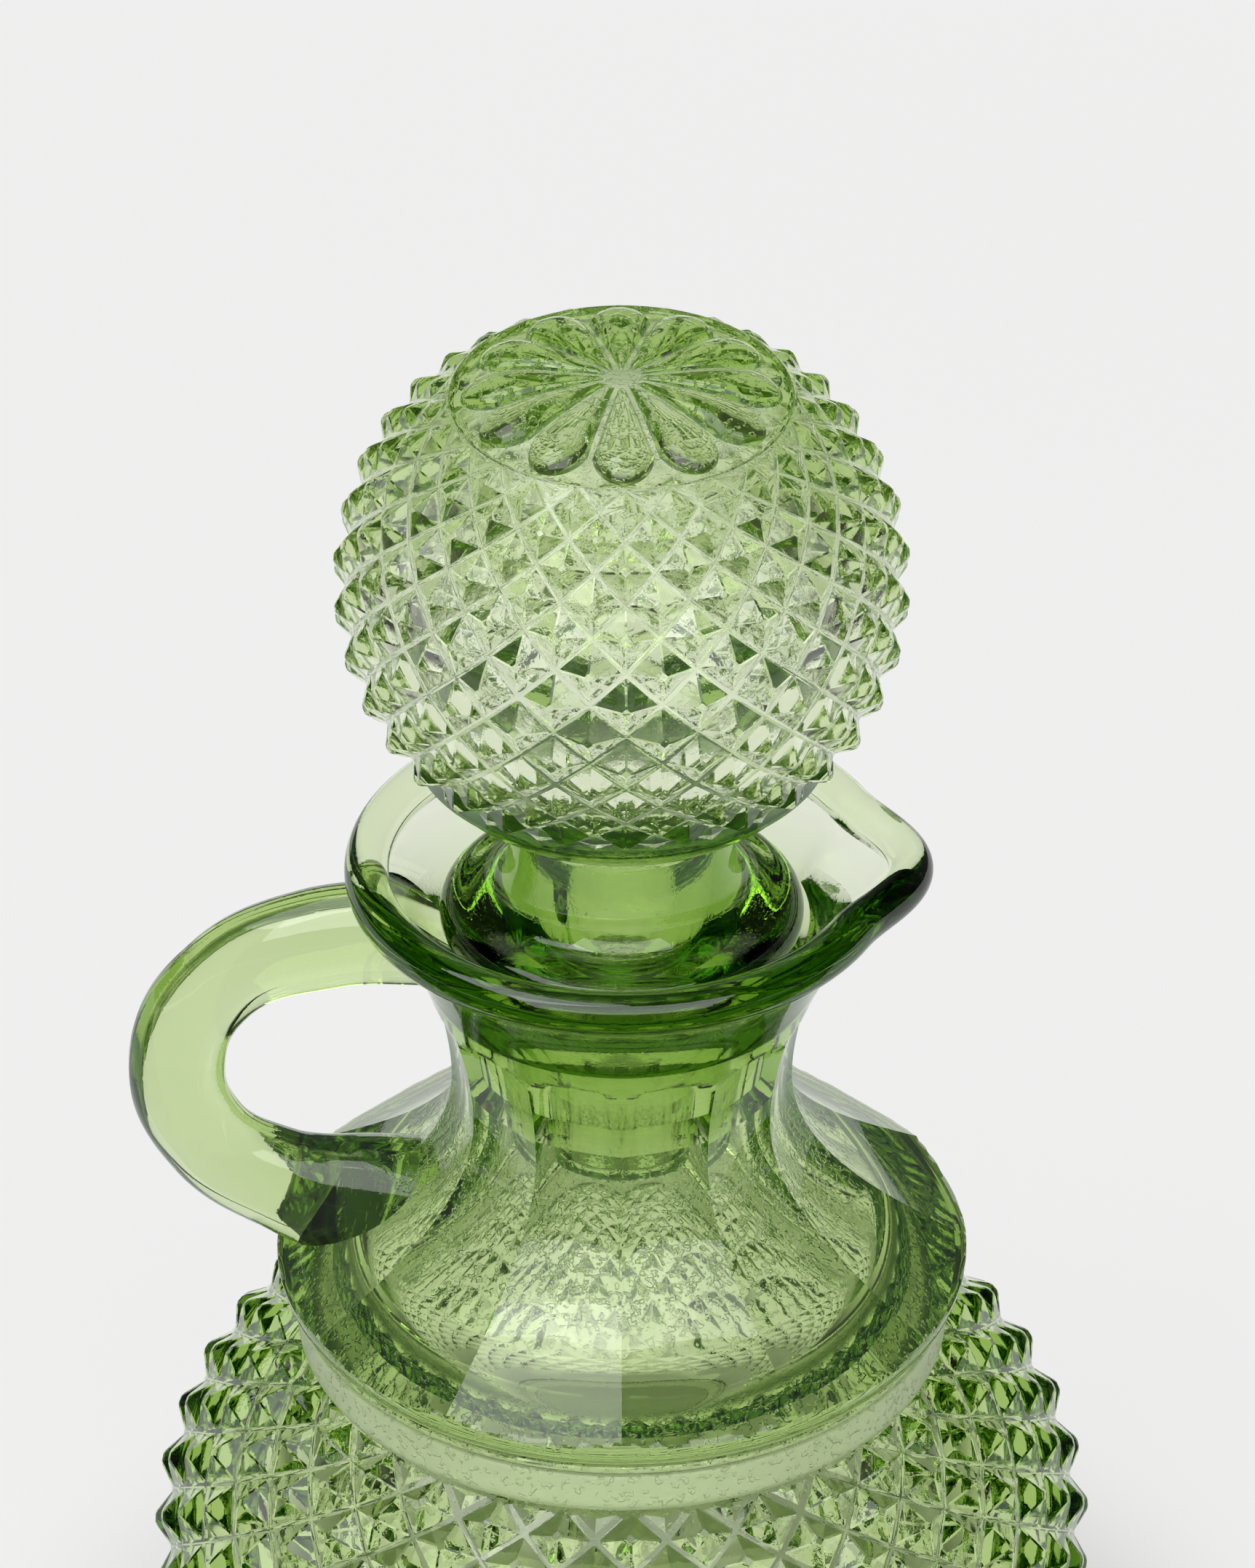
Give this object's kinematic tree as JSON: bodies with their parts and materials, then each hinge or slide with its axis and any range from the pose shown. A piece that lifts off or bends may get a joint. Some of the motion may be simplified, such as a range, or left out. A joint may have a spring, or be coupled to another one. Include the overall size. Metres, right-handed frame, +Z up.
{
  "type": "glass cruet",
  "caption": "Squat pressed-glass cruet with a diamond-point globe body, panelled neck, pouring lip, loop handle and a hollow ball stopper that lifts out.",
  "frame": {"origin": "middle of the foot on the surface it stands on, on the bottle's axis", "axes": "+Z up along the bottle's axis, +X towards the spout, -X towards the handle, -Y towards the picture's camera"},
  "size_m": [0.1007, 0.0992, 0.1811],
  "materials": {
    "bottle_glass": "clear green pressed glass with a faint orange peel",
    "handle_glass": "clear green fire-polished glass",
    "stopper_glass": "clear green pressed glass with a faint orange peel"
  },
  "bodies": {
    "bottle": {"bottle": "bottle_glass", "handle": "handle_glass"},
    "stopper": {"stopper": "stopper_glass"}
  },
  "joints": [
    {"name": "stopper_lift", "type": "slide", "parent": "bottle", "child": "stopper", "axis": [0, 0, 1], "range_m": [0, 0.05]}
  ]
}
